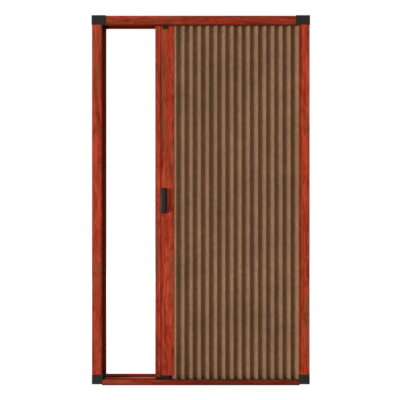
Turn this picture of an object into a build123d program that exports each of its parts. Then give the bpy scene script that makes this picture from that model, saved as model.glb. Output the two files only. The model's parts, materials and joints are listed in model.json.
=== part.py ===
from build123d import *

import os
from math import atan, cos, degrees, radians, sin, tan

# Accordion door in its frame, in millimetres. X runs to the right as seen from the front,
# Y away from the viewer and Z up. The origin is the middle of the sill's underside.

# Frame
frame_width = 1240.0
frame_height = 2100.0
frame_depth = 90.0
wall = 2.0
corner_radius = 3.0
jamb_face = 58.0
head_face = 51.0
sill_height = 26.0
sill_lip_fall = 7.0
mouth_gap = 3.5
hem = 5.0
jamb_fin = 8.0
toe_reach = 15.0
toe_lip = 3.0
guide_rib_width = 6.0
guide_rib_height = 8.0

# Wall screws through the web of each jamb
screw_radius = 2.75
screw_spacing = 1700.0
screw_offset = 23.0

# Glide track under the web of the head
track_inside = 18.0
track_depth = 11.0
track_wall = 1.6
track_slot = 8.0

# Corner caps
cap_wall = 3.0
top_cap_reach = 78.0
top_cap_proud = 2.0
bottom_cap_height = 54.0
bottom_cap_proud = 0.5
bottom_cap_lap = 2.5
spigot_length = 30.0
spigot_thickness = 3.0
spigot_clearance = 0.3

# Lead stile, its nose and its end pieces
doorway = 300.0
stile_body = 72.0
stile_depth = 34.0
stile_wall = 2.0
stile_flange = 26.0
stile_rise = 1.0
stile_bottom = 39.5
nose_width = 33.0
nose_depth = 32.0
nose_radius = 4.0
nose_bottom = 31.0
groove = 3.0
groove_web = 22.0
end_cap_inset = 0.6
rib_clearance = 1.0
top_cap_thickness = 10.0
tab_width = 31.0
tab_height = 20.0
tab_thickness = 2.0
tab_offset = 23.0
plug_depth = 12.0
plug_clearance = 0.3
hanger_width = 40.0
shut_gap = 1.0

# Pull handles
handle_width = 36.0
handle_height = 148.0
handle_projection = 21.0
handle_base = 4.0
handle_step = 2.5
handle_grip = 22.0
handle_corner = 10.0
handle_chamfer = 2.0
handle_z = 1043.0
handle_offset = 13.5

# Magnetic strips
magnet_width = 14.0
magnet_thickness = 3.0

# Curtain of cells
cell_count = 16
cell_depth = 50.0
cell_wall = 1.0
flank_angle = 38.0
valley_radius = 14.0
curtain_bottom = 14.0
curtain_rise = 19.0
cell_lap = 10.0
jamb_bar = 33.2
bar_clearance = 1.0
bar_wall = 1.6

# Gliders that hang the cells in the track
glider_head = 14.0
glider_thickness = 3.0
glider_stem = 6.0
glider_plate = 20.0

# Pile seals along the lips
pile_thickness = 4.0
pile_clearance = 1.2

# Places that follow from the sizes above
half_width = frame_width / 2
half_depth = frame_depth / 2
moving_half = max(cell_depth / 2, stile_depth / 2 + tab_thickness)
mouth = moving_half + mouth_gap
head_top = frame_height - top_cap_proud
head_bottom = head_top - head_face
head_half = half_width - top_cap_reach
sill_half = half_width - jamb_face - bottom_cap_lap
left_mouth = jamb_face - half_width
nose_left = left_mouth + doorway
stile_left = nose_left + nose_width + groove
stile_right = stile_left + stile_body
stile_top = head_bottom + stile_rise
strike_face = left_mouth - nose_width - groove + shut_gap
curtain_left = stile_right - cell_lap
curtain_right = half_width - wall - jamb_bar
curtain_top = head_bottom + curtain_rise
cell_pitch = (curtain_right - curtain_left) / cell_count
sill_lip_top = sill_height - sill_lip_fall
rib_top = wall + guide_rib_height
bar_depth = stile_depth - 2 * (stile_wall + bar_clearance)


def box_between(x, y, z):
    """A block between two X values, two Y values and two Z values."""
    size = (x[1] - x[0], y[1] - y[0], z[1] - z[0])
    return Pos(x[0], y[0], z[0]) * Box(*size, align=(Align.MIN, Align.MIN, Align.MIN))


def rect_between(x, y):
    """A rectangle between two X values and two Y values."""
    size = (x[1] - x[0], y[1] - y[0])
    return Pos(x[0], y[0]) * Rectangle(*size, align=(Align.MIN, Align.MIN))


def upright(section, bottom, top):
    """A profile extruded up from one height to another."""
    return Pos(0, 0, bottom) * extrude(section, top - bottom)


def hemmed_lips(face):
    """The two returns that stiffen the edges of a channel's mouth."""
    hem_run = (face - wall - hem, face)
    return [
        rect_between(hem_run, (mouth, mouth + wall)),
        rect_between(hem_run, (-mouth - wall, -mouth)),
    ]


def channel_section(face):
    """A lipped channel with its web along Y at X 0 and its mouth at X face."""
    outer = Pos(face / 2, 0) * RectangleRounded(face, frame_depth, corner_radius)
    inner = rect_between((wall, face - wall), (wall - half_depth, half_depth - wall))
    slot = rect_between((face - wall, face), (-mouth, mouth))
    section = outer - inner - slot
    for edge in hemmed_lips(face):
        section += edge
    return section


def jamb():
    """The left jamb: a lipped channel with a rear fin and four screw holes."""
    fin = rect_between((jamb_face - corner_radius, jamb_face + jamb_fin), (half_depth - wall, half_depth))
    section = Pos(-half_width, 0) * (channel_section(jamb_face) + fin)
    body = upright(section, bottom_cap_height, head_bottom)
    middle = Pos(wall / 2 - half_width, 0, (bottom_cap_height + head_bottom) / 2)
    drill = Rotation(0, 90, 0) * Cylinder(screw_radius, 3 * wall)
    for y in (-screw_offset, screw_offset):
        for rise in (-screw_spacing / 2, screw_spacing / 2):
            body -= middle * Pos(0, y, rise) * drill
    return body


def glide_track():
    """The section of the C track that hangs from the head's web."""
    leg_run = (wall, wall + track_depth)
    foot_run = (wall + track_depth - track_wall, wall + track_depth)
    inner, outer = track_inside / 2, track_inside / 2 + track_wall
    return [
        rect_between(leg_run, (inner, outer)),
        rect_between(leg_run, (-outer, -inner)),
        rect_between(foot_run, (track_slot / 2, outer)),
        rect_between(foot_run, (-outer, -track_slot / 2)),
    ]


def head_rail():
    """The head: a channel that opens down and carries the glide track."""
    section = channel_section(head_face)
    for piece in glide_track():
        section += piece
    plane = Plane(origin=(0, 0, head_top), x_dir=(0, 0, -1), z_dir=(1, 0, 0))
    return extrude(plane * section, head_half, both=True)


def sill_section():
    """The sill's section: a low channel whose lips slope down to its mouth, between two toes."""
    toe = half_depth + toe_reach
    outline = Polyline(
        (-toe, 0), (toe, 0), (toe, toe_lip), (half_depth, sill_height), (mouth, sill_lip_top),
        (-mouth, sill_lip_top), (-half_depth, sill_height), (-toe, toe_lip), close=True,
    )
    inner_half = half_depth - wall
    lip_slope = sill_lip_fall / (half_depth - mouth)
    inner_top = sill_height - wall - lip_slope * wall
    inner = Polyline(
        (-inner_half, wall), (inner_half, wall), (inner_half, inner_top),
        (mouth, sill_lip_top - wall), (-mouth, sill_lip_top - wall), (-inner_half, inner_top),
        close=True,
    )
    slot = rect_between((-mouth, mouth), (sill_lip_top - wall, sill_lip_top))
    section = make_face(outline) - make_face(inner) - slot
    chamber_top = sill_height - 2 * wall - toe_lip
    chamber_foot = toe - 2 * wall - toe_lip / 2
    for side in (-1, 1):
        chamber = Polyline(
            (side * half_depth, wall), (side * chamber_foot, wall),
            (side * half_depth, chamber_top), close=True,
        )
        hem_band = sorted((side * mouth, side * (mouth + wall)))
        section -= make_face(chamber)
        section += rect_between(hem_band, (sill_lip_top - wall - hem, sill_lip_top))
    rib = rect_between((-guide_rib_width / 2, guide_rib_width / 2), (wall, rib_top))
    return section + rib


def sill_track():
    """The sill: the low channel that guides the foot of the stile."""
    return extrude(Plane.YZ * sill_section(), sill_half, both=True)


def cap_spigots(x, z):
    """Two tongues that slide inside the front and back walls of a jamb."""
    face = half_depth - wall - spigot_clearance
    return [
        box_between(x, sorted((side * face, side * (face - spigot_thickness))), z)
        for side in (-1, 1)
    ]


def top_cap():
    """The top left corner: a moulded box that joins the jamb to the head."""
    left, right = -half_width - top_cap_proud, -head_half
    deep = half_depth + top_cap_proud
    body = box_between((left, right), (-deep, deep), (head_bottom, frame_height))
    body = fillet(body.edges().filter_by(Axis.Z).group_by(Axis.X)[0], corner_radius)
    inside = (left + cap_wall, right)
    body -= box_between(
        inside, (cap_wall - deep, deep - cap_wall), (head_bottom + cap_wall, frame_height - cap_wall)
    )
    body -= box_between(inside, (-mouth, mouth), (head_bottom, head_bottom + cap_wall))
    run = (wall - half_width + spigot_clearance, jamb_face - half_width - 2 * wall)
    for tongue in cap_spigots(run, (head_bottom - spigot_length, head_bottom)):
        body += tongue
    return body


def bottom_cap():
    """The bottom left corner: a moulded shoe that stands the jamb on the floor."""
    left = -half_width - bottom_cap_proud
    right = -sill_half
    deep = half_depth + bottom_cap_proud
    body = box_between((left, right), (-deep, deep), (0, bottom_cap_height))
    body = fillet(body.edges().filter_by(Axis.Z).group_by(Axis.X)[0], corner_radius)
    body -= box_between(
        (left + cap_wall, right - cap_wall), (cap_wall - deep, deep - cap_wall),
        (cap_wall, bottom_cap_height),
    )
    body -= box_between((right - cap_wall, right), (-mouth, mouth), (cap_wall, bottom_cap_height))
    run = (wall - half_width + spigot_clearance, jamb_face - half_width - 2 * wall)
    foot = bottom_cap_height - spigot_length
    for tongue in cap_spigots(run, (foot, bottom_cap_height + spigot_length)):
        body += tongue
    return body


def stile_section():
    """The stile's main profile: a closed box with a channel for the curtain behind it."""
    half = stile_depth / 2
    outer = rect_between((stile_left, stile_right), (-half, half))
    outer = fillet(outer.vertices(), stile_wall / 2)
    chamber = (stile_left + stile_wall, stile_right - stile_flange - stile_wall)
    channel = (stile_right - stile_flange, stile_right)
    inner = (stile_wall - half, half - stile_wall)
    section = outer - rect_between(chamber, inner) - rect_between(channel, inner)
    return section


def nose_section():
    """The nose that docks in the jamb, with the neck that makes the dark groove."""
    outer = Pos(nose_left + nose_width / 2, 0) * RectangleRounded(nose_width, nose_depth, nose_radius)
    inner_size = (nose_width - 2 * stile_wall, nose_depth - 2 * stile_wall)
    inner = Pos(nose_left + nose_width / 2, 0) * RectangleRounded(*inner_size, nose_radius - stile_wall)
    neck_run = (nose_left + nose_width, stile_left)
    neck = rect_between(neck_run, (-groove_web / 2, groove_web / 2))
    recess = rect_between(
        (nose_left, nose_left + magnet_thickness), (-magnet_width / 2, magnet_width / 2)
    )
    backing = rect_between(
        (nose_left + stile_wall / 2, nose_left + magnet_thickness + stile_wall),
        (-magnet_width / 2 - stile_wall, magnet_width / 2 + stile_wall),
    )
    return outer - inner + backing - recess + neck


def lead_stile():
    return upright(stile_section(), stile_bottom, stile_top)


def stile_nose():
    return upright(nose_section(), nose_bottom, stile_top)


def stile_plug(bottom, top):
    """The block of an end cap that fits inside the stile's closed chamber."""
    half = stile_depth / 2 - stile_wall - plug_clearance
    run = (
        stile_left + stile_wall + plug_clearance,
        stile_right - stile_flange - stile_wall - plug_clearance,
    )
    return box_between(run, (-half, half), (bottom, top))


def stile_top_cap():
    """The cap on the stile's top, with the tab that shows in front of it."""
    half = stile_depth / 2
    plate = box_between(
        (stile_left + end_cap_inset, stile_right - stile_flange),
        (end_cap_inset - half, half - end_cap_inset), (stile_top, stile_top + top_cap_thickness),
    )
    plate = fillet(plate.edges().filter_by(Axis.Z), stile_wall / 2)
    tab_left = stile_left + tab_offset - tab_width / 2
    tab = box_between(
        (tab_left, tab_left + tab_width), (-half - tab_thickness, -half),
        (stile_top - tab_height, stile_top + top_cap_thickness),
    )
    bridge = box_between(
        (tab_left, tab_left + tab_width), (-half - tab_thickness, end_cap_inset - half),
        (stile_top, stile_top + top_cap_thickness),
    )
    return plate + bridge + tab + stile_plug(stile_top - plug_depth, stile_top)


def stile_bottom_cap():
    """The foot under the stile, slotted to straddle the sill's guide rib."""
    half = stile_depth / 2
    foot = box_between(
        (stile_left + end_cap_inset, stile_right - stile_flange),
        (end_cap_inset - half, half - end_cap_inset), (wall + rib_clearance, stile_bottom),
    )
    foot = fillet(foot.edges().filter_by(Axis.Z), stile_wall / 2)
    slot_half = guide_rib_width / 2 + rib_clearance
    slot = box_between(
        (stile_left, stile_right), (-slot_half, slot_half), (wall, rib_top + rib_clearance)
    )
    return foot - slot + stile_plug(stile_bottom, stile_bottom + plug_depth)


def nose_cap(bottom, top):
    """A plate that closes one end of the nose."""
    middle = nose_left + nose_width / 2
    size = (nose_width - 2 * end_cap_inset, nose_depth - 2 * end_cap_inset)
    return upright(Pos(middle, 0) * RectangleRounded(*size, nose_radius), bottom, top)


def handle_front():
    """A moulded pull: a base flange with a grip that tapers towards its ends."""
    middle = stile_left + handle_offset
    face = -stile_depth / 2
    base_plane = Plane(origin=(middle, face, handle_z), x_dir=(1, 0, 0), z_dir=(0, -1, 0))
    base_outline = RectangleRounded(handle_width, handle_height, handle_corner)
    base = extrude(base_plane * base_outline, handle_base)
    foot = base_plane.offset(handle_base) * RectangleRounded(
        handle_width - 2 * handle_step, handle_height - 2 * handle_step, handle_corner - handle_step
    )
    rise = handle_projection - handle_base
    draft = degrees(atan((handle_width - 2 * handle_step - handle_grip) / 2 / rise))
    grip = extrude(foot, rise, taper=draft)
    crown_edges = grip.faces().sort_by(Axis.Y)[0].edges()
    return base + chamfer(crown_edges, handle_chamfer)


def magnet_strip(left, bottom, top):
    run = (left, left + magnet_thickness)
    return box_between(run, (-magnet_width / 2, magnet_width / 2), (bottom, top))


def hollow_bar(left, right, bottom, top):
    """A hollow bar that holds a strip or the curtain's edge off a web."""
    outer = rect_between((left, right), (-bar_depth / 2, bar_depth / 2))
    inner = rect_between(
        (left + bar_wall, right - bar_wall), (bar_wall - bar_depth / 2, bar_depth / 2 - bar_wall)
    )
    return upright(outer - inner, bottom, top)


def half_outline(inset):
    """The front right quarter of a cell, from its ridge to its valley, moved in by inset."""
    half_pitch, ridge = cell_pitch / 2, cell_depth / 2
    angle = radians(flank_angle)
    flank_run = half_pitch - valley_radius * sin(angle)
    flank_drop = flank_run * tan(angle)
    valley_y = -ridge + flank_drop + valley_radius * (1 - cos(angle))
    centre = (half_pitch, valley_y - valley_radius)
    radius = valley_radius + inset
    ridge_point = (0, -ridge + inset / cos(angle))
    tangent = (centre[0] - radius * sin(angle), centre[1] + radius * cos(angle))
    edge_x = half_pitch - inset
    edge_y = centre[1] + (radius ** 2 - inset ** 2) ** 0.5
    mid_angle = (angle + (inset / radius)) / 2
    middle = (centre[0] - radius * sin(mid_angle), centre[1] + radius * cos(mid_angle))
    return [Line(ridge_point, tangent), ThreePointArc(tangent, middle, (edge_x, edge_y))]


def cell_loop(inset):
    """The closed outline of one cell, mirrored from its quarter."""
    quarter = half_outline(inset)
    right = quarter + [mirror(edge, Plane.XZ) for edge in quarter]
    edge_x = cell_pitch / 2 - inset
    valley_y = quarter[1].position_at(1).Y
    side = Line((edge_x, valley_y), (edge_x, -valley_y))
    left = [mirror(edge, Plane.YZ) for edge in right + [side]]
    return make_face(Wire.combine(right + [side] + left)[0].edges())


def curtain_cell(number):
    """One cell of the curtain, a thin tube with a sharp ridge and soft valleys."""
    section = cell_loop(0) - cell_loop(cell_wall)
    middle = curtain_left + (number + 0.5) * cell_pitch
    return Pos(middle, 0, curtain_bottom) * extrude(section, curtain_top - curtain_bottom)


def glider(middle):
    """A nylon glider: a head in the track, a stem and a plate on the cell's top."""
    foot_top = head_top - wall - track_depth
    half_head, half_stem, half_plate = glider_head / 2, glider_stem / 2, glider_plate / 2
    head_foot = foot_top + track_wall
    head = box_between(
        (middle - half_head, middle + half_head), (-half_head, half_head),
        (head_foot, head_foot + glider_thickness),
    )
    stem = box_between(
        (middle - half_stem, middle + half_stem), (-half_stem, half_stem),
        (curtain_top, head_foot),
    )
    plate = box_between(
        (middle - half_plate, middle + half_plate), (-half_plate, half_plate),
        (curtain_top, curtain_top + glider_thickness),
    )
    return head + stem + plate


def curtain_gliders():
    """One glider over every second cell."""
    places = [curtain_left + (k + 0.5) * cell_pitch for k in range(0, cell_count, 2)]
    return Compound([glider(x) for x in places])


def stile_hanger():
    """The carrier that hangs the stile in the track."""
    foot_top = head_top - wall - track_depth
    head_foot = foot_top + track_wall
    middle = (stile_left + stile_right - stile_flange) / 2
    half_head, half_stem = glider_head / 2, glider_stem / 2
    top = stile_top + top_cap_thickness
    head = box_between(
        (middle - hanger_width / 2, middle + hanger_width / 2), (-half_head, half_head),
        (head_foot, head_foot + 2 * glider_thickness),
    )
    stem = box_between(
        (middle - half_head, middle + half_head), (-half_stem, half_stem), (top, head_foot)
    )
    return head + stem


def pile_seal(length_x, bottom, top, side):
    """A pile strip on the inner edge of a lip, reaching for the stile and the curtain."""
    reach = moving_half + pile_clearance
    return box_between(length_x, sorted((side * reach, side * mouth)), (bottom, top))


def write_all():
    os.makedirs("parts", exist_ok=True)
    left_jamb = jamb()
    left_top, left_foot = top_cap(), bottom_cap()
    front_pull = handle_front()
    strike_back = strike_face - magnet_thickness
    bar_bottom, bar_top = bottom_cap_height, head_bottom
    pieces = {
        "left_jamb": left_jamb,
        "right_jamb": mirror(left_jamb, Plane.YZ),
        "head_rail": head_rail(),
        "sill_track": sill_track(),
        "top_left_corner": left_top,
        "top_right_corner": mirror(left_top, Plane.YZ),
        "bottom_left_corner": left_foot,
        "bottom_right_corner": mirror(left_foot, Plane.YZ),
        "lead_stile": lead_stile(),
        "stile_nose": stile_nose(),
        "stile_top_cap": stile_top_cap(),
        "stile_bottom_cap": stile_bottom_cap(),
        "nose_top_cap": nose_cap(stile_top, stile_top + top_cap_thickness),
        "nose_bottom_cap": nose_cap(wall + guide_rib_height + rib_clearance, nose_bottom),
        "stile_hanger": stile_hanger(),
        "front_pull": front_pull,
        "back_pull": mirror(front_pull, Plane.XZ),
        "nose_magnet": magnet_strip(nose_left, nose_bottom, stile_top),
        "strike_bar": hollow_bar(wall - half_width, strike_back, bar_bottom, bar_top),
        "strike_magnet": magnet_strip(strike_back, bar_bottom, bar_top),
        "jamb_curtain_bar": hollow_bar(curtain_right, half_width - wall, bar_bottom, bar_top),
        "stile_curtain_bar": hollow_bar(
            stile_right - stile_flange, curtain_left, stile_bottom, stile_top
        ),
        "curtain_gliders": curtain_gliders(),
    }
    for side, name in ((-1, "front"), (1, "back")):
        pieces[f"head_{name}_pile"] = pile_seal(
            (-head_half, head_half), head_bottom, head_bottom + pile_thickness, side
        )
        pieces[f"sill_{name}_pile"] = pile_seal(
            (-sill_half, sill_half), sill_lip_top - pile_thickness, sill_lip_top, side
        )
    for number in range(cell_count):
        pieces[f"curtain_cell_{number + 1:02d}"] = curtain_cell(number)
    for name, shape in pieces.items():
        export_step(shape, f"parts/{name}.step")


write_all()
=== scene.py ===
"""Looks of an accordion door: filmed profiles, black mouldings and a cellular cloth curtain."""
import json
from math import cos, pi, radians, sin, tan

import bmesh
import bpy
from bpy.props import FloatProperty, FloatVectorProperty, IntProperty, PointerProperty
from mathutils import Euler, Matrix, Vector, noise


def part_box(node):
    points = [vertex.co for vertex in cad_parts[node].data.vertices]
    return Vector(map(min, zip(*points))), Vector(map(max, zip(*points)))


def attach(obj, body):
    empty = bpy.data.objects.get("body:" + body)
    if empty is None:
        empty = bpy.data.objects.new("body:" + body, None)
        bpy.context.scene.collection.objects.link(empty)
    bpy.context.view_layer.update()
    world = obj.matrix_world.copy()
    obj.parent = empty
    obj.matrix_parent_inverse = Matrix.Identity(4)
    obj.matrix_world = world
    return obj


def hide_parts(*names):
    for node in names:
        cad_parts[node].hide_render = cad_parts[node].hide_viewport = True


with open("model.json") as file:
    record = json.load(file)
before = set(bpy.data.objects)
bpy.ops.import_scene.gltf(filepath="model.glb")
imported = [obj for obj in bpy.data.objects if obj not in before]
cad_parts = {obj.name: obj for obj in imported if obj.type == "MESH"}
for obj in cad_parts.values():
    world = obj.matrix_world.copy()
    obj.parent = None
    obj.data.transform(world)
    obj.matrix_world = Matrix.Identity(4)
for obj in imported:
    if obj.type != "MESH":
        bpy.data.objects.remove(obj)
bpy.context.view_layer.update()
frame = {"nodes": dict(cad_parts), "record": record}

bl_info = {
    "name": "Accordion Door",
    "version": (1, 0, 0),
    "blender": (4, 5, 0),
    "location": "View3D > Sidebar > Accordion Door",
    "description": "Dresses the accordion door: filmed profiles, mouldings, curtain and studio",
    "category": "Add Mesh",
}

MM = 0.001
BODY = "root"
# How the film looks on each profile. Offset keeps the pieces' prints apart. The lengths are
# measured from the part's middle, or from the floor, along and across the grain.
# Inside each channel a red priming coat is laid at a brightness set per profile, painting light and
# shade in the recesses.
FILMS = (
    # The edge runs darken the jambs' edges at the opening, the head's lower lip, the sill's foot
    # and the nose's left edge: painted shade.
    (("left_jamb",), {
        "offset": 0.7, "figure": 0.25, "tones": (0.86, 1.12), "ends": (0.1, 0.9),
        "edge_shade": (562 * MM, 574 * MM), "inside": (561.5 * MM, 619 * MM), "primer_and_painted_light": 0.45,
    }),
    (("right_jamb",), {
        "offset": 3.8, "figure": 0.35, "edge_shade": (562 * MM, 578 * MM),
        "inside": (561.5 * MM, 619 * MM), "primer_and_painted_light": 0.45,
    }),
    (("head_rail",), {
        "level": True, "offset": 5.2, "figure": 0.3, "tones": (0.78, 0.66), "ends": (-0.5, 0.5),
        "edge_shade": (2046.5 * MM, 2052 * MM), "inside": (2046.5 * MM, 2097 * MM), "primer_and_painted_light": 0.75,
    }),
    # On the sill the tone falls towards the curtain: painted shade under the curtain.
    (("sill_track",), {
        "level": True, "offset": 7.5, "figure": 0.3, "tones": (1.05, 0.5), "ends": (-0.35, -0.05),
        "edge_shade": (0.0, 13 * MM), "inside": (1 * MM, 26.1 * MM), "primer_and_painted_light": 0.75,
        "dust_highlight_run": ((3 * MM, 11 * MM), -264 * MM),
    }),
    (("lead_stile", "stile_nose"), {
        "offset": 8.4, "figure": 0.35, "tones": (0.93, 1.1), "edge_shade": (262.2 * MM, 256 * MM),
        "inside": (154.2 * MM, 179 * MM), "walls": 15.5 * MM, "primer_and_painted_light": 0.25,
    }),
)
CORNERS = (
    "top_left_corner", "top_right_corner", "bottom_left_corner", "bottom_right_corner",
)
STILE_ENDS = ("stile_top_cap", "stile_bottom_cap", "nose_top_cap", "nose_bottom_cap")
PULLS = ("front_pull", "back_pull")
BARS = ("strike_bar", "jamb_curtain_bar", "stile_curtain_bar")
MAGNETS = ("nose_magnet", "strike_magnet")
NYLON_PIECES = ("stile_hanger", "curtain_gliders")
PILES = ("head_front_pile", "head_back_pile", "sill_front_pile", "sill_back_pile")
CELL_NODES = sorted(name for name in frame["nodes"] if name.startswith("curtain_cell_"))


def linear_rgb(hex_code):
    """Turns an sRGB hex colour into linear values."""
    channels = [int(hex_code[k:k + 2], 16) / 255 for k in (1, 3, 5)]
    return tuple(c / 12.92 if c <= 0.04045 else ((c + 0.055) / 1.055) ** 2.4 for c in channels)


def colour_property(name, description, hex_code):
    """A colour that a user can change, with a default given as sRGB hex."""
    return FloatVectorProperty(
        name=name, description=description, subtype="COLOR", size=3, min=0, max=1,
        default=linear_rgb(hex_code),
    )


def length_property(name, description, default):
    """A length in metres that a user can change."""
    return FloatProperty(
        name=name, description=description, default=default, min=0,
        subtype="DISTANCE", unit="LENGTH",
    )


class DoorFilmSettings(bpy.types.PropertyGroup):
    """The printed woodgrain film on the aluminium profiles."""
    light: colour_property("Light streaks", "Colour of the film's lightest streaks", "#C44D35")
    middle: colour_property("Ground", "Colour of most of the film", "#A63821")
    dark: colour_property("Dark streaks", "Colour of the film's darkest streaks", "#6C1E0E")
    brown: colour_property("Brown clouds", "Colour of the print's brown parts", "#7E4526")
    primer_and_painted_light: colour_property("Primer", "Colour of the red primer inside the channels", "#BC3A18")
    # This pale colour is partly a dusting and partly a painted highlight on the sill's channel
    # floor.
    dust_and_highlight: colour_property("Dust", "Colour of the dust on the sill's floor", "#F0B49C")
    # This dark colour also paints shade on the profiles' corners and in the sill's channel under
    # the stile and the curtain.
    vein_and_shade: colour_property("Veins", "Colour of the thin veins, pores and worn corners", "#3C1209")
    streak: length_property("Streak width", "Width of a broad streak across the grain", 16 * MM)
    pore: length_property("Pore width", "Width of a printed pore across the grain", 1.6 * MM)
    edge: length_property("Edge radius", "Radius of a profile's edges", 0.8 * MM)


class DoorClothSettings(bpy.types.PropertyGroup):
    """The folded polyester cloth of the curtain."""
    colour: colour_property("Cloth", "Colour of the curtain's cloth in the valleys", "#835A49")
    # This colour is painted light on the pleats' ridges, the warm lit tone against the redder
    # valleys' shade.
    ridge_light_tint: colour_property("Faded cloth", "Colour of the cloth where light faded it", "#806444")
    shade: colour_property("Cloth shade", "Colour of the cloth's darker yarns", "#6E4C35")
    thread: length_property("Thread spacing", "Distance between two threads", 0.9 * MM)
    thickness: length_property("Cloth thickness", "Thickness of the cloth", 0.7 * MM)
    flank: FloatProperty(
        name="Flank angle", description="Angle of a pleat's flank from the curtain's plane",
        default=radians(38), subtype="ANGLE", unit="ROTATION",
    )
    valley: length_property("Valley radius", "Radius of the valley between two pleats", 14 * MM)
    levels: IntProperty(name="Levels", description="Rows of faces up a cell", default=60, min=8)


class DoorMouldingSettings(bpy.types.PropertyGroup):
    """The black moulded pieces."""
    colour: colour_property("Moulding", "Colour of the moulded plastic", "#1D1E1C")
    grit: length_property("Grit", "Size of the mould's fine texture", 0.6 * MM)
    edge: length_property("Edge radius", "Radius of a moulding's edges", 0.9 * MM)


class DoorStudioSettings(bpy.types.PropertyGroup):
    """The camera, the lamps and the floor."""
    distance: length_property("Camera distance", "Distance from the lens to the frame's front", 2.9)
    height: length_property("Camera height", "Height of the lens above the floor", 1.16)
    lens_per_width: FloatProperty(
        name="Lens", description="Focal length as a share of the picture's width", default=1.274,
    )
    key: FloatProperty(name="Key strength", description="Strength of the front key", default=3.7)
    fill: FloatProperty(name="Fill power", description="Power of a fill lamp in watts", default=52)
    side: FloatProperty(name="Side strength", description="Strength of the side lamp", default=1.5)
    ambient: FloatProperty(name="Ambient", description="Strength of the soft light", default=0.28)


SETTINGS = {
    "door_film": DoorFilmSettings,
    "door_cloth": DoorClothSettings,
    "door_moulding": DoorMouldingSettings,
    "door_studio": DoorStudioSettings,
}


def add_node(tree, kind, inputs=None, output=None, **settings):
    """Adds a node, sets it up, fills or links its inputs, and returns it or its named output."""
    node = tree.nodes.new(kind)
    for name, value in settings.items():
        setattr(node, name, value)
    for socket, value in (inputs or {}).items():
        if isinstance(value, bpy.types.NodeSocket):
            tree.links.new(value, node.inputs[socket])
        else:
            node.inputs[socket].default_value = value
    return node if output is None else node.outputs[output]


def new_material(name):
    """A node material with only its output and a principled shader."""
    material = bpy.data.materials.new(name)
    material.use_nodes = True
    tree = material.node_tree
    return material, tree, tree.nodes["Principled BSDF"]


def set_ramp(node, stops):
    """Gives a colour ramp its stops, each a place and a linear colour."""
    ramp = node.color_ramp
    while len(ramp.elements) < len(stops):
        ramp.elements.new(0.5)
    for element, (place, colour) in zip(ramp.elements, stops):
        element.position = place
        element.color = (*colour, 1)


def shade(colour, factor):
    """A linear colour made lighter or darker."""
    return tuple(min(1, c * factor) for c in colour)


def dress(names, material):
    """Gives CAD nodes a material."""
    for name in names:
        mesh = frame["nodes"][name].data
        for k in range(len(mesh.materials)):
            mesh.materials[k] = material


def new_piece(name, mesh, material):
    """Makes an object of a mesh, which rides on the frame's one body."""
    mesh.materials.append(material)
    piece = bpy.data.objects.new(name, mesh)
    bpy.context.scene.collection.objects.link(piece)
    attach(piece, BODY)
    return piece


def grain_coordinates(tree, level, offset):
    """Object coordinates turned so that the grain runs along Z, moved so that pieces differ."""
    place = add_node(tree, "ShaderNodeTexCoord", output="Object")
    if level:
        parts = add_node(tree, "ShaderNodeSeparateXYZ", {"Vector": place})
        place = add_node(tree, "ShaderNodeCombineXYZ", {
            "X": parts.outputs["Z"], "Y": parts.outputs["Y"], "Z": parts.outputs["X"],
        }, output="Vector")
    return add_node(tree, "ShaderNodeVectorMath", {0: place, 1: (offset, offset, offset)}, output=0)


def stretched_noise(tree, place, width, length, detail=3.0, rough=0.5):
    """Noise whose blots are as wide as width and as long as length."""
    scaled = add_node(tree, "ShaderNodeVectorMath", {
        0: place, 1: (1 / width, 1 / width, 1 / length),
    }, output=0, operation="MULTIPLY")
    return add_node(tree, "ShaderNodeTexNoise", {
        "Vector": scaled, "Scale": 1.0, "Detail": detail, "Roughness": rough,
    }, output="Fac")


def painted_over(tree, ground, layers):
    """A ground with plain colours laid over it.

    Each layer is a value, where it starts and is full, how far it then covers, and its colour.
    """
    for value, (start, full), cover, colour in layers:
        mask = add_node(tree, "ShaderNodeMapRange", {
            "Value": value, "From Min": start, "From Max": full, "To Max": cover,
        }, output="Result")
        ground = add_node(tree, "ShaderNodeMix", {
            "Factor": mask, 6: ground, 7: (*colour, 1),
        }, output=2, data_type="RGBA")
    return ground


def toned(tree, ground, tones):
    """A ground made lighter or darker. Each tone is a value, its range and the factors there."""
    for value, (start, end), (first, last) in tones:
        factor = add_node(tree, "ShaderNodeMapRange", {
            "Value": value, "From Min": start, "From Max": end, "To Min": first, "To Max": last,
        }, output="Result")
        ground = add_node(tree, "ShaderNodeVectorMath", {
            0: ground, 1: factor,
        }, output=0, operation="MULTIPLY")
    return ground


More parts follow.
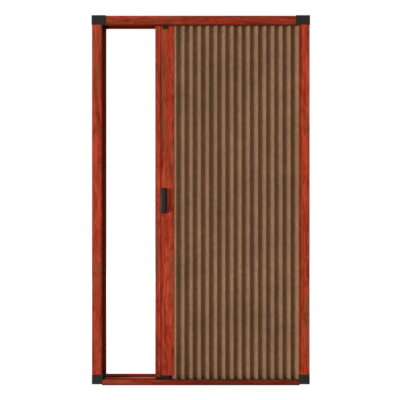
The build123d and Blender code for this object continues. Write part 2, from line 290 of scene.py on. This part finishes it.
def rosewood_print(tree, place, film, figure):
    """The printed grain with its streaks, clouds, veins and pores, and then the pores' value."""
    # The grain wanders sideways, so its streaks slant and bend.
    drift = stretched_noise(tree, place, 5 * film.streak, 24 * film.streak, 2.0)
    push = add_node(tree, "ShaderNodeMapRange", {
        "Value": drift, "To Min": -3 * film.streak, "To Max": 3 * film.streak,
    }, output="Result")
    sideways = add_node(tree, "ShaderNodeCombineXYZ", {"X": push, "Y": push}, output="Vector")
    bent = add_node(tree, "ShaderNodeVectorMath", {0: place, 1: sideways}, output=0)
    broad = stretched_noise(tree, bent, film.streak, 15 * film.streak, 4.0, 0.55)
    narrow = stretched_noise(tree, bent, film.streak / 4, 5 * film.streak, 3.0, 0.6)
    streaks = add_node(tree, "ShaderNodeMix", {"Factor": 0.35, 2: broad, 3: narrow}, output=0)
    ramp = add_node(tree, "ShaderNodeValToRGB", {"Fac": streaks})
    set_ramp(ramp, [(0.34, film.dark), (0.5, film.middle), (0.66, film.light)])
    clouds = stretched_noise(tree, bent, 3.5 * film.streak, 25 * film.streak, 3.0)
    layers = [(clouds, (0.48, 0.66), 0.7, film.brown)]
    # Thin dark veins follow the contours of a slow noise, as the rings of flat-sawn timber do.
    rings = stretched_noise(tree, bent, 2.6 * film.streak, 18 * film.streak, 2.0, 0.4)
    for contour in (0.44, 0.56):
        away = add_node(tree, "ShaderNodeMath", {
            0: rings, 1: contour,
        }, output=0, operation="SUBTRACT")
        away = add_node(tree, "ShaderNodeMath", {0: away}, output=0, operation="ABSOLUTE")
        layers.append((away, (0.024, 0.004), figure, film.vein_and_shade))
    pores = stretched_noise(tree, bent, film.pore, 22 * film.pore, 2.0)
    layers.append((pores, (0.6, 0.74), 0.25, film.vein_and_shade))
    return painted_over(tree, ramp.outputs["Color"], layers), pores


def channel_inside(tree, parts, across, inside, walls):
    """One on the faces within a channel and between its walls, and otherwise nought."""
    depth = add_node(tree, "ShaderNodeMath", {
        0: parts.outputs["Y"],
    }, output=0, operation="ABSOLUTE")
    within = add_node(tree, "ShaderNodeMath", {0: depth, 1: walls}, output=0, operation="LESS_THAN")
    for operation, limit in zip(("GREATER_THAN", "LESS_THAN"), inside):
        side = add_node(tree, "ShaderNodeMath", {
            0: across, 1: limit,
        }, output=0, operation=operation)
        within = add_node(tree, "ShaderNodeMath", {
            0: within, 1: side,
        }, output=0, operation="MULTIPLY")
    return within


def dust_highlight_masks(tree, parts, across, within, thinning, covered_from):
    """A pale strip in a channel, partly a dusting and partly a painted highlight, and a painted
    shadow under the stile and the curtain.
    """
    dust_highlight_fade = add_node(tree, "ShaderNodeMapRange", {
        "Value": across, "From Min": thinning[0], "From Max": thinning[1],
        "To Min": 1.0, "To Max": 0.0,
    }, output="Result")
    covered_painted_shade = add_node(tree, "ShaderNodeMath", {
        0: parts.outputs["Z"], 1: covered_from,
    }, output=0, operation="GREATER_THAN")
    return [
        add_node(tree, "ShaderNodeMath", {0: value, 1: within}, output=0, operation="MULTIPLY")
        for value in (dust_highlight_fade, covered_painted_shade)
    ]


def woodgrain_film_on_aluminium(
    name, level=False, offset=0.0, figure=0.3, tones=(1.0, 1.0), ends=(0.0, 2.1), edge_shade=None,
    inside=None, walls=43.5 * MM, primer_and_painted_light=1.0, dust_highlight_run=None,
):
    """Satin PVC film with a printed rosewood grain, wrapped on extruded aluminium.

    The print gives soft slanting streaks, brown clouds and thin dark veins, and the film a low
    gloss. Figure is how dark the veins are, and tones are the brightness at the two ends of a
    run along the grain. The edge run is the run across it that is darkened at its start, a
    painted shade, and inside the run across it that lies within the channel's walls and has
    only a red priming coat, whose brightness is set per profile as painted light and shade.
    The pale-strip run is the part of that run over which the strip thins out, partly a
    dusting and partly a painted highlight, with the place from which a painted shadow darkens
    the channel under the stile and the curtain.
    """
    film = bpy.context.scene.door_film
    material, tree, shader = new_material(name)
    place = grain_coordinates(tree, level, offset)
    coloured, pores = rosewood_print(tree, place, film, figure)
    parts = add_node(tree, "ShaderNodeSeparateXYZ", {
        "Vector": grain_coordinates(tree, level, 0.0),
    })
    across = add_node(tree, "ShaderNodeMath", {
        0: parts.outputs["X"],
    }, output=0, operation="ABSOLUTE")
    # The print's tone changes along the run and drifts slowly. On the sill the tone falls towards
    # the curtain as painted shade, and the start of each edge run is darker: painted shade at gaps,
    # lips and the sill's foot.
    drifting = stretched_noise(tree, place, 300 * MM, 450 * MM, 1.0)
    changes = [(parts.outputs["Z"], ends, tones), (drifting, (0.35, 0.65), (0.88, 1.12))]
    if edge_shade:
        changes.append((across, edge_shade, (0.35, 1.0)))
    coloured = toned(tree, coloured, changes)
    # The film is darkened round its corners and edges: painted shade.
    rounded = add_node(tree, "ShaderNodeBevel", {"Radius": film.edge}, output="Normal", samples=4)
    wide = add_node(tree, "ShaderNodeBevel", {"Radius": 4 * film.edge}, output="Normal", samples=6)
    true_normal = add_node(tree, "ShaderNodeNewGeometry", output="True Normal")
    corner_shade = add_node(tree, "ShaderNodeVectorMath", {
        0: wide, 1: true_normal,
    }, output="Value", operation="DOT_PRODUCT")
    layers = [(corner_shade, (1.0, 0.9), 0.6, film.vein_and_shade)]
    # Handling dulls the film a little in slow patches, and primer has no gloss.
    patches = stretched_noise(tree, place, 220 * MM, 400 * MM, 2.0)
    rough = add_node(tree, "ShaderNodeMapRange", {
        "Value": patches, "From Min": 0.3, "From Max": 0.7, "To Min": 0.5, "To Max": 0.64,
    }, output="Result")
    # The channels' insides take a red priming coat, and its brightness, set per profile, is painted
    # light and shade in the recess.
    if inside:
        within = channel_inside(tree, parts, across, inside, walls)
        layers.append((within, (0.0, 1.0), 1.0, shade(film.primer_and_painted_light, primer_and_painted_light)))
        rough = add_node(tree, "ShaderNodeMath", {
            0: rough, 1: within,
        }, output=0, operation="MAXIMUM")
    # A pale strip on the sill's floor, partly a dusting and partly a painted highlight, and a
    # painted shadow where the stile and the curtain stand over the channel.
    if dust_highlight_run:
        dust_and_highlight, covered_painted_shade = dust_highlight_masks(tree, parts, across, within, *dust_highlight_run)
        layers += [(dust_and_highlight, (0.0, 1.0), 0.4, film.dust_and_highlight), (covered_painted_shade, (0.0, 1.0), 0.9, film.vein_and_shade)]
    coloured = painted_over(tree, coloured, layers)
    bump = add_node(tree, "ShaderNodeBump", {
        "Strength": 0.12, "Distance": 0.15 * MM, "Height": pores, "Normal": rounded,
    }, output="Normal", invert=True)
    tree.links.new(coloured, shader.inputs["Base Color"])
    tree.links.new(rough, shader.inputs["Roughness"])
    tree.links.new(bump, shader.inputs["Normal"])
    shader.inputs["Specular IOR Level"].default_value = 0.06
    return material


def moulded_black_abs():
    """Injection-moulded black ABS: near black with a fine spark-eroded grit and a dull sheen."""
    moulding = bpy.context.scene.door_moulding
    material, tree, shader = new_material("moulded_black_abs")
    place = add_node(tree, "ShaderNodeTexCoord", output="Object")
    grit = add_node(tree, "ShaderNodeTexNoise", {
        "Vector": place, "Scale": 1 / moulding.grit, "Detail": 2.0,
    }, output="Fac")
    cloud = add_node(tree, "ShaderNodeTexNoise", {
        "Vector": place, "Scale": 1 / (30 * MM), "Detail": 3.0,
    }, output="Fac")
    colour = add_node(tree, "ShaderNodeMix", {
        "Factor": cloud,
        6: (*shade(moulding.colour, 0.8), 1), 7: (*shade(moulding.colour, 1.25), 1),
    }, output=2, data_type="RGBA")
    rough = add_node(tree, "ShaderNodeMapRange", {
        "Value": cloud, "From Min": 0.3, "From Max": 0.7, "To Min": 0.42, "To Max": 0.56,
    }, output="Result")
    rounded = add_node(tree, "ShaderNodeBevel", {
        "Radius": moulding.edge,
    }, output="Normal", samples=4)
    bump = add_node(tree, "ShaderNodeBump", {
        "Strength": 0.3, "Distance": 0.05 * MM, "Height": grit, "Normal": rounded,
    }, output="Normal")
    tree.links.new(colour, shader.inputs["Base Color"])
    tree.links.new(rough, shader.inputs["Roughness"])
    tree.links.new(bump, shader.inputs["Normal"])
    shader.inputs["Specular IOR Level"].default_value = 0.15
    return material


def woven_polyester_cloth():
    """Folded polyester: matt threads in a plain weave, slightly uneven in shade."""
    cloth = bpy.context.scene.door_cloth
    material, tree, shader = new_material("woven_polyester_cloth")
    place = add_node(tree, "ShaderNodeTexCoord", output="Object")
    # A wave of scale 1 repeats every pi/10 of a unit, so this scale gives one thread a spacing.
    scale = pi / 10 / cloth.thread
    warp, weft = (
        add_node(tree, "ShaderNodeTexWave", {
            "Vector": place, "Scale": scale, "Distortion": 0.4,
        }, output="Fac", bands_direction=direction)
        for direction in ("X", "Z")
    )
    weave = add_node(tree, "ShaderNodeMath", {0: warp, 1: weft}, output=0, operation="MULTIPLY")
    slub = stretched_noise(tree, place, 3 * MM, 60 * MM, 3.0)
    # The pleats' ridges are painted olive and the valleys a redder brown: painted light, a lit tone
    # on the ridges and a shaded one in the valleys.
    parts = add_node(tree, "ShaderNodeSeparateXYZ", {"Vector": place})
    outward = add_node(tree, "ShaderNodeMath", {
        0: parts.outputs["Y"],
    }, output=0, operation="ABSOLUTE")
    yarn = painted_over(tree, (*cloth.colour, 1), [
        (outward, (9 * MM, 19 * MM), 1.0, cloth.ridge_light_tint), (slub, (0.35, 0.65), 0.5, cloth.shade),
    ])
    # The dye took slightly unevenly, in small blots, and the shade drifts slowly.
    blots = stretched_noise(tree, place, 24 * MM, 24 * MM, 2.0)
    drifting = stretched_noise(tree, place, 160 * MM, 240 * MM, 1.0)
    colour = toned(tree, yarn, [
        (weave, (0.0, 1.0), (0.9, 1.06)), (blots, (0.35, 0.65), (0.91, 1.09)),
        (drifting, (0.35, 0.65), (0.92, 1.08)),
    ])
    bump = add_node(tree, "ShaderNodeBump", {
        "Strength": 0.4, "Distance": 0.2 * MM, "Height": weave,
    }, output="Normal")
    tree.links.new(colour, shader.inputs["Base Color"])
    tree.links.new(bump, shader.inputs["Normal"])
    shader.inputs["Roughness"].default_value = 0.92
    shader.inputs["Specular IOR Level"].default_value = 0.12
    shader.inputs["Sheen Weight"].default_value = 0.08
    return material


def matt_material(name, hex_code, rough, grain, specular=0.3):
    """A dull finish with a fine mottle in colour, roughness and height, for the small pieces."""
    material, tree, shader = new_material(name)
    place = add_node(tree, "ShaderNodeTexCoord", output="Object")
    mottle = add_node(tree, "ShaderNodeTexNoise", {
        "Vector": place, "Scale": 1 / grain, "Detail": 3.0,
    }, output="Fac")
    base, spread = linear_rgb(hex_code), 0.08
    colour = add_node(tree, "ShaderNodeMix", {
        "Factor": mottle, 6: (*shade(base, 0.75), 1), 7: (*shade(base, 1.25), 1),
    }, output=2, data_type="RGBA")
    roughness = add_node(tree, "ShaderNodeMapRange", {
        "Value": mottle, "To Min": rough - spread, "To Max": rough + spread,
    }, output="Result")
    bump = add_node(tree, "ShaderNodeBump", {
        "Strength": 0.3, "Distance": 0.1 * MM, "Height": mottle,
    }, output="Normal")
    tree.links.new(colour, shader.inputs["Base Color"])
    tree.links.new(roughness, shader.inputs["Roughness"])
    tree.links.new(bump, shader.inputs["Normal"])
    shader.inputs["Specular IOR Level"].default_value = specular
    return material


def zinc_plated_steel():
    """Zinc-plated steel screws: a bluish grey metal with a fine, uneven brightness."""
    material = matt_material("zinc_plated_steel", "#9EA2A6", 0.38, 1.5 * MM, specular=0.5)
    material.node_tree.nodes["Principled BSDF"].inputs["Metallic"].default_value = 1.0
    return material


def cell_section(width, depth, flank, valley, steps=6):
    """One cell's outline seen from above, from its left valley round to its start.

    Each point is (x, y, sharp). A flank is straight from the ridge, then turns into the valley.
    """
    half = width / 2
    run = half - valley * sin(flank)
    drop = run * tan(flank)
    centre_y = -depth / 2 + drop - valley * cos(flank)
    right = [(0.0, -depth / 2, True)]
    right += [(run * k / 3, -depth / 2 + drop * k / 3, False) for k in (1, 2)]
    for k in range(steps + 1):
        angle = flank * (1 - k / steps)
        point = (half - valley * sin(angle), centre_y + valley * cos(angle))
        right.append((*point, k == steps))
    front = [(-x, y, sharp) for x, y, sharp in reversed(right[1:])] + right
    back = [(x, -y, sharp) for x, y, sharp in reversed(front)]
    return front + back


def cell_mesh(name, low, high, number):
    """A folded cloth tube that fills one cell's box, with slight unevenness up its height."""
    cloth = bpy.context.scene.door_cloth
    gap = 0.1 * MM
    section = cell_section(high.x - low.x - gap, high.y - low.y - gap, cloth.flank, cloth.valley)
    middle = (low + high) / 2
    rows = cloth.levels + 1
    # The noise turns this many times a metre across and up, and each cell starts elsewhere in it.
    across_rate, up_rate, apart, swing = 30, 5, 7.3, 0.7 * MM
    seam = 0.49 * (high.x - low.x)
    vertices = []
    for row in range(rows):
        share = row / cloth.levels
        z = low.z + share * (high.z - low.z)
        for x, y, sharp in section:
            spot = Vector((number * apart + x * across_rate, y * across_rate, z * up_rate))
            shift = 0.0 if abs(x) > seam else abs(noise.noise(spot)) * swing
            inward = -1 if y > 0 else 1
            vertices.append((middle.x + x, middle.y + y + inward * shift, z))
    count = len(section)
    faces = []
    for row in range(rows - 1):
        for k in range(count):
            a, b = row * count + k, row * count + (k + 1) % count
            faces.append((a, b, b + count, a + count))
    mesh = bpy.data.meshes.new(name)
    mesh.from_pydata(vertices, [], faces)
    for face in mesh.polygons:
        face.use_smooth = True
    for edge in mesh.edges:
        a, b = edge.vertices
        if a % count == b % count and section[a % count][2]:
            edge.use_edge_sharp = True
    return mesh, section


def pile_mesh(name, low, high):
    """A pile strip: a row of small tufts on a woven backing, scalloped along its length."""
    tuft = 3 * MM
    count = round((high.x - low.x) / tuft)
    backing, towards = (high.y, -1) if low.y > 0 else (low.y, 1)
    narrow, swelling, uneven = 0.55, 0.45, 0.1
    vertices, faces = [], []
    ring = ((0, 0), (0, 1), (1, 1), (1, 0))
    for k in range(4 * count + 1):
        swell = narrow + swelling * sin(pi * (k % 4) / 4)
        lean = uneven * noise.noise(Vector((k * 0.7, low.y * 50, low.z)))
        x = low.x + (high.x - low.x) * k / (4 * count)
        for across, up in ring:
            y = backing + towards * across * (swell + lean) * (high.y - low.y)
            vertices.append((x, y, low.z + up * (high.z - low.z)))
    for k in range(4 * count):
        for corner in range(4):
            a, b = 4 * k + corner, 4 * k + (corner + 1) % 4
            faces.append((a, b, b + 4, a + 4))
    # The strip's two ends are closed.
    last = len(vertices) - len(ring)
    faces += [(3, 2, 1, 0), (last, last + 1, last + 2, last + 3)]
    mesh = bpy.data.meshes.new(name)
    mesh.from_pydata(vertices, [], faces)
    return mesh


def corner_fin_mesh(side):
    """A thin moulded fin at a bottom corner's back, between the jamb's rear fin and the sill."""
    low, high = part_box(f"{side}_jamb")
    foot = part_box("sill_track")[1].z
    reach, thickness, chamfer = 10 * MM, 2 * MM, 1 * MM
    tip, inward = (high.x, 1) if side == "left" else (low.x, -1)
    root = tip - inward * reach
    outline = [
        (root, foot), (tip - inward * chamfer, foot), (tip, foot + chamfer),
        (tip, low.z), (root, low.z),
    ]
    # Seen from the front both outlines run anticlockwise, so that the faces look outwards.
    outline = outline[::inward]
    count = len(outline)
    vertices = [(x, y, z) for y in (high.y - thickness, high.y) for x, z in outline]
    faces = [range(count), range(2 * count - 1, count - 1, -1)]
    for k in range(count):
        n = (k + 1) % count
        faces.append((k, count + k, count + n, n))
    mesh = bpy.data.meshes.new(f"bottom_{side}_corner_fin")
    mesh.from_pydata(vertices, [], faces)
    return mesh


def screw_head_mesh(radius, height):
    """A pan-headed screw with a cross recess, its top facing +Z."""
    body = bmesh.new()
    profile = [
        (radius, 0), (radius, 0.35 * height), (0.82 * radius, 0.8 * height), (0.5 * radius, height),
    ]
    around = 24
    rings = []
    for r, z in profile:
        ring = [
            body.verts.new((r * cos(2 * pi * k / around), r * sin(2 * pi * k / around), z))
            for k in range(around)
        ]
        rings.append(ring)
    for lower, upper in zip(rings, rings[1:]):
        for k in range(around):
            n = (k + 1) % around
            body.faces.new((lower[k], lower[n], upper[n], upper[k]))
    body.faces.new(list(reversed(rings[0])))
    arm, slot = 0.42 * radius, 0.13 * radius
    cross = [
        (arm, slot), (slot, slot), (slot, arm), (-slot, arm), (-slot, slot), (-arm, slot),
        (-arm, -slot), (-slot, -slot), (-slot, -arm), (slot, -arm), (slot, -slot), (arm, -slot),
    ]
    upper = [body.verts.new((x, y, height)) for x, y in cross]
    lower = [body.verts.new((0.7 * x, 0.7 * y, 0.4 * height)) for x, y in cross]
    for k in range(len(cross)):
        n = (k + 1) % len(cross)
        body.faces.new((upper[n], upper[k], lower[k], lower[n]))
    body.faces.new(list(reversed(lower)))
    bmesh.ops.bridge_loops(
        body,
        edges=[e for e in body.edges if all(v in rings[-1] for v in e.verts)]
        + [e for e in body.edges if all(v in upper for v in e.verts)],
    )
    mesh = bpy.data.meshes.new("screw_head")
    body.to_mesh(mesh)
    body.free()
    return mesh


def wall_screw_places():
    """Where the wall screws' heads sit inside each jamb's web, and which way they face."""
    mounts = {m["name"]: m for m in frame["record"]["mounts"]}
    for name, facing in (("left_wall_screws", 1), ("right_wall_screws", -1)):
        mount = mounts[name]
        centre = Vector(mount["pos_m"])
        across = mount["dims"]["spacing_x_mm"] * MM / 2
        up = mount["dims"]["spacing_y_mm"] * MM / 2
        for y in (-across, across):
            for z in (-up, up):
                yield centre + Vector((0, y, z)), facing


class DOOR_OT_studio(bpy.types.Operator):
    """Makes the floor, the camera and the lamps"""
    bl_idname = "door.studio"
    bl_label = "Make Studio"

    def execute(self, context):
        studio = context.scene.door_studio
        self.make_camera(context, studio)
        self.make_world(context, studio)
        self.make_lamps(context, studio, self.make_floor(context))
        context.scene.view_settings.view_transform = "Standard"
        return {"FINISHED"}

    def make_camera(self, context, studio):
        """A level camera: its axis is higher than the picture's middle, so the lens is shifted."""
        horizon_px, middle_px, picture_px = 180.4, 200.0, 400.0
        aside = 4.6 * MM
        camera = bpy.data.cameras.new("photo_camera")
        camera.lens = camera.sensor_width * studio.lens_per_width
        camera.shift_y = (horizon_px - middle_px) / picture_px
        holder = bpy.data.objects.new("photo_camera", camera)
        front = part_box("left_jamb")[0].y
        holder.location = (-aside, front - studio.distance, studio.height)
        holder.rotation_euler = Euler((radians(90), 0, 0))
        context.scene.collection.objects.link(holder)
        context.scene.camera = holder

    def make_lamps(self, context, studio, floor):
        """A key and a fill in front, a key and a fill behind, and a lamp for the right side.

        A key is a strip of suns side by side, level with the horizon. It is wide but not tall, so
        that the head's lip puts hardly any shade on the curtain. Neither floor nor sill hides it.
        The fills hang just ahead of the camera and at the same distance behind the door.
        """
        unhidden = bpy.data.collections.new("lamps_unhidden_by")
        for blocker in (floor, frame["nodes"]["sill_track"]):
            unhidden.objects.link(blocker)
        for entry in unhidden.collection_objects:
            entry.light_linking.link_state = "EXCLUDE"
        sun_size, height = 6, radians(-1)
        turns = (-sun_size, 0, sun_size)
        fill_radius, ahead = 150 * MM, 100 * MM

        def add_sun(name, energy, heading, spread):
            lamp = bpy.data.lights.new(name, "SUN")
            lamp.energy = energy
            lamp.angle = radians(spread)
            holder = bpy.data.objects.new(name, lamp)
            level = radians(heading)
            source = Vector((sin(level) * cos(height), -cos(level) * cos(height), sin(height)))
            holder.rotation_euler = source.to_track_quat("Z", "Y").to_euler()
            holder.light_linking.blocker_collection = unhidden
            context.scene.collection.objects.link(holder)

        for name, heading, share in (("front_key", -62, 1.0), ("back_key", -135, 0.66)):
            for turn in turns:
                add_sun(name, studio.key * share / len(turns), heading + turn, sun_size)
        add_sun("right_side", studio.side, heading=90, spread=1)
        for side, name in ((-1, "front_fill"), (1, "back_fill")):
            lamp = bpy.data.lights.new(name, "POINT")
            lamp.energy = studio.fill
            lamp.shadow_soft_size = fill_radius
            holder = bpy.data.objects.new(name, lamp)
            holder.location = (0, side * (studio.distance - ahead), studio.height)
            holder.visible_camera = False
            holder.visible_glossy = False
            context.scene.collection.objects.link(holder)

    def seen_directly(self, tree):
        """One for what the camera sees, also through glass or in a gloss, and otherwise nought."""
        path = add_node(tree, "ShaderNodeLightPath")
        seen = path.outputs["Is Camera Ray"]
        for other in ("Is Glossy Ray", "Is Transmission Ray"):
            seen = add_node(tree, "ShaderNodeMath", {
                0: seen, 1: path.outputs[other],
            }, output=0, operation="MAXIMUM")
        return seen

    def make_world(self, context, studio):
        """A white surround where the camera and reflections look, and soft light elsewhere."""
        world = bpy.data.worlds.new("studio_world")
        world.use_nodes = True
        tree = world.node_tree
        seen = self.seen_directly(tree)
        strength = add_node(tree, "ShaderNodeMapRange", {
            "Value": seen, "To Min": studio.ambient, "To Max": 1.0,
        }, output="Result")
        background = tree.nodes["Background"]
        background.inputs["Color"].default_value = (1, 1, 1, 1)
        tree.links.new(strength, background.inputs["Strength"])
        context.scene.world = world

    def make_floor(self, context):
        """A pale floor that looks white to the camera and still takes the door's shadow."""
        half, below = 6.0, 0.5 * MM
        pale, glow = 0.8, 0.79
        mesh = bpy.data.meshes.new("studio_floor")
        corners = [(-half, -half), (half, -half), (half, half), (-half, half)]
        mesh.from_pydata([(x, y, -below) for x, y in corners], [], [(0, 1, 2, 3)])
        material, tree, shader = new_material("studio_floor")
        shader.inputs["Base Color"].default_value = (pale, pale, pale, 1)
        shader.inputs["Roughness"].default_value = 1.0
        shader.inputs["Specular IOR Level"].default_value = 0.0
        seen = self.seen_directly(tree)
        lift = add_node(tree, "ShaderNodeMath", {0: seen, 1: glow}, output=0, operation="MULTIPLY")
        shader.inputs["Emission Color"].default_value = (1, 1, 1, 1)
        tree.links.new(lift, shader.inputs["Emission Strength"])
        mesh.materials.append(material)
        floor = bpy.data.objects.new("studio_floor", mesh)
        context.scene.collection.objects.link(floor)
        return floor


class DOOR_OT_profiles(bpy.types.Operator):
    """Wraps the frame's and the stile's profiles in woodgrain film"""
    bl_idname = "door.profiles"
    bl_label = "Wrap Profiles"

    def execute(self, context):
        for names, look in FILMS:
            dress(names, woodgrain_film_on_aluminium(f"woodgrain_film_{names[0]}", **look))
        return {"FINISHED"}


class DOOR_OT_mouldings(bpy.types.Operator):
    """Gives the corners, end caps and pulls their plastic, and adds the bottom corners' fins"""
    bl_idname = "door.mouldings"
    bl_label = "Finish Mouldings"

    def execute(self, context):
        material = moulded_black_abs()
        dress(CORNERS + STILE_ENDS + PULLS, material)
        for side in ("left", "right"):
            mesh = corner_fin_mesh(side)
            new_piece(mesh.name, mesh, material)
        return {"FINISHED"}


class DOOR_OT_curtain(bpy.types.Operator):
    """Folds the curtain's cloth cells"""
    bl_idname = "door.curtain"
    bl_label = "Fold Curtain"

    def execute(self, context):
        material = woven_polyester_cloth()
        cloth = context.scene.door_cloth
        for number, node in enumerate(CELL_NODES):
            low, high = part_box(node)
            name = node.replace("curtain_cell", "cloth_cell")
            mesh, section = cell_mesh(name, low, high, number)
            piece = new_piece(name, mesh, material)
            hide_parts(node)
            hem = piece.modifiers.new("cloth_thickness", "SOLIDIFY")
            hem.thickness = cloth.thickness
            hem.offset = -1
        return {"FINISHED"}


class DOOR_OT_piles(bpy.types.Operator):
    """Makes the pile strips along the lips of the head and the sill"""
    bl_idname = "door.piles"
    bl_label = "Make Pile Strips"

    def execute(self, context):
        # Polypropylene pile: dark, matt tufts that catch no light.
        material = matt_material("polypropylene_pile", "#2A1B14", 0.95, 1.0 * MM, specular=0.1)
        for node in PILES:
            mesh = pile_mesh(node, *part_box(node))
            piece = new_piece(node.replace("_pile", "_tufts"), mesh, material)
            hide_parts(node)
        return {"FINISHED"}


class DOOR_OT_hardware(bpy.types.Operator):
    """Finishes the bars, magnets and nylon pieces, and adds the wall screws' heads"""
    bl_idname = "door.hardware"
    bl_label = "Finish Hardware"

    def execute(self, context):
        # Brown powder coat on the inner bars: even and dull.
        dress(BARS, matt_material("brown_powder_coat", "#5A2A1C", 0.6, 1.2 * MM))
        # Bonded rubber magnet: dark grey and matt.
        dress(MAGNETS, matt_material("bonded_rubber_magnet", "#2C2724", 0.75, 0.8 * MM))
        # Moulded nylon: milky and slightly waxy.
        dress(NYLON_PIECES, matt_material("moulded_nylon", "#CFC9BC", 0.5, 2.0 * MM))
        self.make_screws()
        return {"FINISHED"}

    def make_screws(self):
        """Joins every wall screw's head into one mesh."""
        radius, height, web = 4.4 * MM, 2.4 * MM, 2 * MM
        head = screw_head_mesh(radius, height)
        joined = bmesh.new()
        for place, facing in wall_screw_places():
            start = len(joined.verts)
            joined.from_mesh(head)
            joined.verts.ensure_lookup_table()
            turn = Vector((facing, 0, 0)).to_track_quat("Z", "Y")
            for vertex in joined.verts[start:]:
                vertex.co = place + Vector((facing * web, 0, 0)) + turn @ vertex.co
        mesh = bpy.data.meshes.new("wall_screw_heads")
        joined.to_mesh(mesh)
        joined.free()
        bpy.data.meshes.remove(head)
        new_piece("wall_screw_heads", mesh, zinc_plated_steel())


OPERATORS = (
    DOOR_OT_studio, DOOR_OT_profiles, DOOR_OT_mouldings, DOOR_OT_curtain, DOOR_OT_piles,
    DOOR_OT_hardware,
)


class DOOR_PT_sidebar(bpy.types.Panel):
    """Lists the door's sizes, colours and steps"""
    bl_idname = "DOOR_PT_sidebar"
    bl_label = "Accordion Door"
    bl_space_type = "VIEW_3D"
    bl_region_type = "UI"
    bl_category = "Accordion Door"

    def draw(self, context):
        for name, group in SETTINGS.items():
            box = self.layout.box()
            box.label(text=group.__doc__)
            settings = getattr(context.scene, name)
            for field in group.__annotations__:
                box.prop(settings, field)
        for operator in OPERATORS:
            self.layout.operator(operator.bl_idname)


CLASSES = (*SETTINGS.values(), *OPERATORS, DOOR_PT_sidebar)


def register():
    for each in CLASSES:
        bpy.utils.register_class(each)
    for name, group in SETTINGS.items():
        setattr(bpy.types.Scene, name, PointerProperty(type=group))


def unregister():
    for name in SETTINGS:
        delattr(bpy.types.Scene, name)
    for each in reversed(CLASSES):
        bpy.utils.unregister_class(each)


def main():
    register()
    for operator in OPERATORS:
        group, name = operator.bl_idname.split(".")
        getattr(getattr(bpy.ops, group), name)()


if __name__ == "__main__":
    main()
